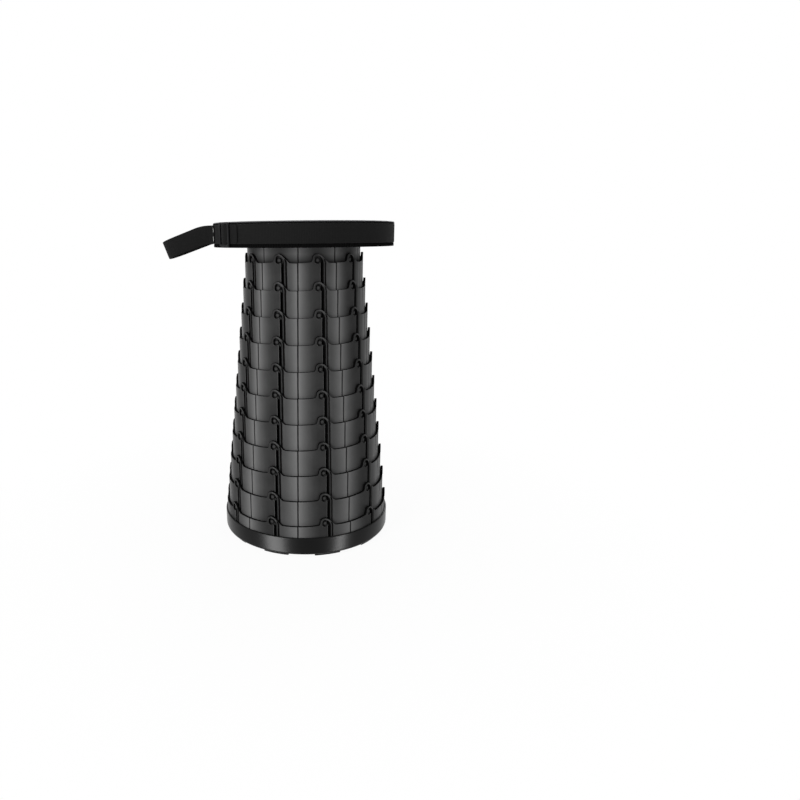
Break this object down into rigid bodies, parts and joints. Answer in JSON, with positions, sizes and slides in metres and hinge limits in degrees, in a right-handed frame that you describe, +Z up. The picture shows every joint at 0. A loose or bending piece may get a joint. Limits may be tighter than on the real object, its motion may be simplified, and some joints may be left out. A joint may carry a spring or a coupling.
{
  "type": "collapsible telescopic stool",
  "caption": "Round stool that telescopes from a flat puck to seat height on nesting slotted sleeve rings, with a webbing strap and carrying loop round the seat.",
  "frame": {"origin": "centre of the base plate's flat underside, 2.5 mm above the soles of the rubber feet", "axes": "+Z up along the stool's axis, towards the seat; -Y is the front as pictured, -X is the side that carries the handle loop"},
  "size_m": [0.3223, 0.2498, 0.4464],
  "materials": {
    "base_gloss": "glossy black moulded base cup",
    "foot_rubber": "matte black rubber pad",
    "ring_moulding": "satin charcoal moulded plastic",
    "screw_steel": "plain zinc-plated screw",
    "seat_moulding": "matte charcoal moulded seat with a finely textured top",
    "disc_moulding": "satin orange-red moulded disc",
    "webbing": "black woven webbing",
    "buckle_plastic": "black moulded slider"
  },
  "bodies": {
    "base": {"base_shell": "base_gloss", "ring_12": "ring_moulding", "foot_01": "foot_rubber", "foot_02": "foot_rubber", "foot_03": "foot_rubber", "foot_04": "foot_rubber", "foot_05": "foot_rubber", "foot_06": "foot_rubber", "foot_07": "foot_rubber", "foot_08": "foot_rubber", "foot_09": "foot_rubber", "foot_10": "foot_rubber"},
    "ring_11": {"ring_11": "ring_moulding"},
    "ring_10": {"ring_10": "ring_moulding"},
    "ring_09": {"ring_09": "ring_moulding"},
    "ring_08": {"ring_08": "ring_moulding"},
    "ring_07": {"ring_07": "ring_moulding"},
    "ring_06": {"ring_06": "ring_moulding"},
    "ring_05": {"ring_05": "ring_moulding"},
    "ring_04": {"ring_04": "ring_moulding"},
    "ring_03": {"ring_03": "ring_moulding"},
    "ring_02": {"ring_02": "ring_moulding"},
    "seat": {"ring_01": "ring_moulding", "seat_screw_1": "screw_steel", "seat_screw_2": "screw_steel", "seat_screw_3": "screw_steel", "seat_screw_4": "screw_steel", "seat_screw_5": "screw_steel", "seat_shell": "seat_moulding", "centre_disc": "disc_moulding", "rim_strap": "webbing"},
    "handle_loop": {"handle_loop": "webbing"},
    "slider": {"slider_buckle": "buckle_plastic", "strap_tail": "webbing"}
  },
  "joints": [
    {"name": "slide_11", "type": "slide", "parent": "base", "child": "ring_11", "axis": [0, 0, -1], "range_m": [0, 0.035]},
    {"name": "slide_10", "type": "slide", "parent": "ring_11", "child": "ring_10", "axis": [0, 0, -1], "range_m": [0, 0.035]},
    {"name": "slide_09", "type": "slide", "parent": "ring_10", "child": "ring_09", "axis": [0, 0, -1], "range_m": [0, 0.035]},
    {"name": "slide_08", "type": "slide", "parent": "ring_09", "child": "ring_08", "axis": [0, 0, -1], "range_m": [0, 0.035]},
    {"name": "slide_07", "type": "slide", "parent": "ring_08", "child": "ring_07", "axis": [0, 0, -1], "range_m": [0, 0.035]},
    {"name": "slide_06", "type": "slide", "parent": "ring_07", "child": "ring_06", "axis": [0, 0, -1], "range_m": [0, 0.035]},
    {"name": "slide_05", "type": "slide", "parent": "ring_06", "child": "ring_05", "axis": [0, 0, -1], "range_m": [0, 0.035]},
    {"name": "slide_04", "type": "slide", "parent": "ring_05", "child": "ring_04", "axis": [0, 0, -1], "range_m": [0, 0.035]},
    {"name": "slide_03", "type": "slide", "parent": "ring_04", "child": "ring_03", "axis": [0, 0, -1], "range_m": [0, 0.035]},
    {"name": "slide_02", "type": "slide", "parent": "ring_03", "child": "ring_02", "axis": [0, 0, -1], "range_m": [0, 0.035]},
    {"name": "slide_seat", "type": "slide", "parent": "ring_02", "child": "seat", "axis": [0, 0, -1], "range_m": [0, 0.035]},
    {"name": "loop_lift", "type": "hinge", "parent": "seat", "child": "handle_loop", "pos_m": [-0.1206, 0.0032, 0.4406], "axis": [0.0262, 0.9997, 0], "range_deg": [0, 65]},
    {"name": "slider_shift", "type": "hinge", "parent": "seat", "child": "slider", "pos_m": [0, 0, 0.4286], "axis": [0, 0, 1], "range_deg": [-10, 6]}
  ]
}
